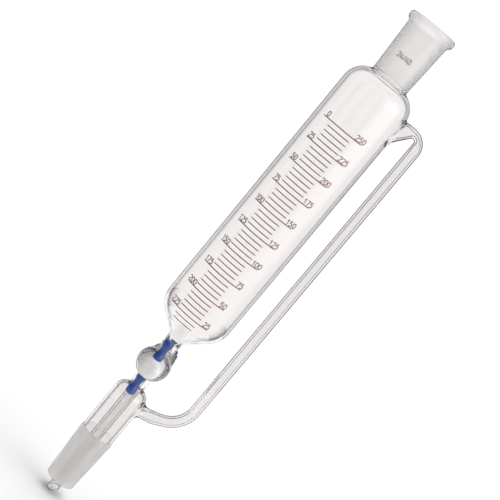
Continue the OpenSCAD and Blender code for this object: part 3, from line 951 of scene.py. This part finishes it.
enamel = enamel_material()
for name, (parts, replaced) in build_scale().items():
    piece = join_parts(name, parts)
    smooth(piece, 30)
    paint(piece, enamel)
    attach(piece, "glass_body")
    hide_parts(replaced)

ptfe, blue, rubber = ptfe_material(), blue_material(), rubber_material()
for piece, material, body, slot, replaced in (
    (build_plug(), ptfe, "plug", "white_ptfe", "plug"),
    (build_handle(), blue, "plug", "blue_plastic", "handle"),
    (build_washer(), ptfe, "seal_stack", "white_ptfe", "keyed_washer"),
    (build_ring(), rubber, "seal_stack", "black_rubber", "o_ring"),
    (build_nut(), blue, "nut", "blue_plastic", "nut"),
):
    smooth(piece, 35)
    paint(piece, material)
    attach(piece, body)
    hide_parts(replaced)

# ---------------------------------------------------------------- stage
floor_r, floor_base = 450, -52
floor_outline = [(0, FLOOR_Z), (120, FLOOR_Z), (floor_r, FLOOR_Z), (floor_r, floor_base), (0, floor_base)]
floor = lathe("floor", floor_outline, segments=96)
floor.data.shade_flat()
mat, nt, bsdf = new_material("floor_white")
bsdf.inputs["Base Color"].default_value = (0.9, 0.9, 0.9, 1)
bsdf.inputs["Roughness"].default_value = 0.8
bsdf.inputs["Specular IOR Level"].default_value = 0
bsdf.inputs["Emission Color"].default_value = (1, 1, 1, 1)
bsdf.inputs["Emission Strength"].default_value = 0.04
paint(floor, mat)

world = bpy.data.worlds.new("studio")
bpy.context.scene.world = world
world.use_nodes = True
wt = world.node_tree
background = wt.nodes["Background"]
direction = node(wt, "ShaderNodeTexCoord").outputs["Generated"]


def lobe(axis, sharpness, gain):
    """A soft light in one direction: gain times the cosine to it, to a power."""
    dot = node(wt, "ShaderNodeVectorMath", operation="DOT_PRODUCT")
    wt.links.new(direction, dot.inputs[0])
    dot.inputs[1].default_value = Vector(axis).normalized()
    top = node(wt, "ShaderNodeMath", operation="MAXIMUM")
    top.inputs[1].default_value = 0
    wt.links.new(dot.outputs["Value"], top.inputs[0])
    power = node(wt, "ShaderNodeMath", operation="POWER")
    power.inputs[1].default_value = sharpness
    wt.links.new(top.outputs[0], power.inputs[0])
    scaled = node(wt, "ShaderNodeMath", operation="MULTIPLY")
    scaled.inputs[1].default_value = gain
    wt.links.new(power.outputs[0], scaled.inputs[0])
    return scaled.outputs[0]


def total(base, *parts):
    """A base level with lights added."""
    out = None
    for part in parts:
        add = node(wt, "ShaderNodeMath", operation="ADD")
        if out is None:
            add.inputs[0].default_value = base
        else:
            wt.links.new(out, add.inputs[0])
        wt.links.new(part, add.inputs[1])
        out = add.outputs[0]
    return out


def chosen(fac, low, high):
    """One level, or another where a ray is of the kind that fac names."""
    mix = node(wt, "ShaderNodeMix", data_type="FLOAT")
    wt.links.new(fac, mix.inputs["Factor"])
    for socket, value in ((mix.inputs["A"], low), (mix.inputs["B"], high)):
        if isinstance(value, float):
            socket.default_value = value
        else:
            wt.links.new(value, socket)
    return mix.outputs["Result"]


CAMERA_WHITE, GLASS_WHITE = 1.05, 1.045
GAP_TURN, GAP_DEPTH, GAPS = 91.5, 0.4, 8

rays = node(wt, "ShaderNodeLightPath")
diffuse_light = total(
    0.02, lobe((0.1, -1, 0.2), 2.0, 0.15), lobe((1, -0.35, 0.3), 4.0, 2.0), lobe((0, 0.1, 1), 6.0, 3.2),
    lobe((-0.3, 1, 0.1), 1.5, 0.25),
)
mirrored_light = total(0.12, lobe((1, -0.45, 0.3), 8.0, 4.2), lobe((0, 0.1, 1), 3.0, 1.0))


def panels(source):
    """White all round, with eight soft darker gaps, each half way between two 45-degree views.

    The gaps fade out below the horizon, towards the floor.
    """
    split = node(wt, "ShaderNodeSeparateXYZ")
    wt.links.new(source, split.inputs["Vector"])
    angle = node(wt, "ShaderNodeMath", operation="ARCTAN2")
    wt.links.new(split.outputs["Y"], angle.inputs[0])
    wt.links.new(split.outputs["X"], angle.inputs[1])
    turned = node(wt, "ShaderNodeMath", operation="MULTIPLY_ADD")
    turned.inputs[1].default_value = GAPS
    turned.inputs[2].default_value = -GAPS * math.radians(GAP_TURN)
    wt.links.new(angle.outputs[0], turned.inputs[0])
    wave = node(wt, "ShaderNodeMath", operation="COSINE")
    wt.links.new(turned.outputs[0], wave.inputs[0])
    level = node(wt, "ShaderNodeMapRange", interpolation_type="SMOOTHSTEP")
    wt.links.new(wave.outputs[0], level.inputs["Value"])
    for name, value in (("From Min", -0.85), ("From Max", 0.2), ("To Min", GAP_DEPTH), ("To Max", 0.0)):
        level.inputs[name].default_value = value
    fade = node(wt, "ShaderNodeMapRange", interpolation_type="SMOOTHSTEP")
    wt.links.new(split.outputs["Z"], fade.inputs["Value"])
    for name, value in (("From Min", -0.29), ("From Max", -0.06), ("To Min", 0.0), ("To Max", 1.0)):
        fade.inputs[name].default_value = value
    depth = node(wt, "ShaderNodeMath", operation="MULTIPLY")
    wt.links.new(level.outputs["Result"], depth.inputs[0])
    wt.links.new(fade.outputs["Result"], depth.inputs[1])
    rest = node(wt, "ShaderNodeMath", operation="SUBTRACT")
    rest.inputs[0].default_value = GLASS_WHITE
    wt.links.new(depth.outputs[0], rest.inputs[1])
    return rest.outputs[0]


level = chosen(rays.outputs["Is Glossy Ray"], diffuse_light, mirrored_light)
level = chosen(rays.outputs["Is Transmission Ray"], level, panels(direction))
level = chosen(rays.outputs["Is Camera Ray"], level, CAMERA_WHITE)
wt.links.new(level, background.inputs["Strength"])
background.inputs["Color"].default_value = (1, 1, 1, 1)

# ---------------------------------------------------------------- camera
camera_data = bpy.data.cameras.new("camera")
camera_data.lens = 90
camera_data.sensor_width = 36
camera = bpy.data.objects.new("camera", camera_data)
bpy.context.scene.collection.objects.link(camera)
bpy.context.scene.camera = camera
target = Vector((0.3, 0, 156.1)) * MM
distance = 776.5 * MM
elevation, swing, lean = math.radians(9.48), math.radians(2.9), math.radians(39.64)
away = Vector((
    math.cos(elevation) * math.sin(swing), -math.cos(elevation) * math.cos(swing), math.sin(elevation),
))
camera.location = target + away * distance
right = Vector((0, 0, 1)).cross(away).normalized()
up = away.cross(right)
tilted_up = up * math.cos(lean) - right * math.sin(lean)
tilted_right = right * math.cos(lean) + up * math.sin(lean)
camera.rotation_euler = Matrix((tilted_right, tilted_up, away)).transposed().to_euler()

view = bpy.context.scene.view_settings
view.view_transform = "Standard"
cycles = bpy.context.scene.cycles
cycles.max_bounces = 24
cycles.transmission_bounces = 20
cycles.transparent_max_bounces = 16
cycles.caustics_refractive = True
cycles.caustics_reflective = True

bpy.context.view_layer.update()
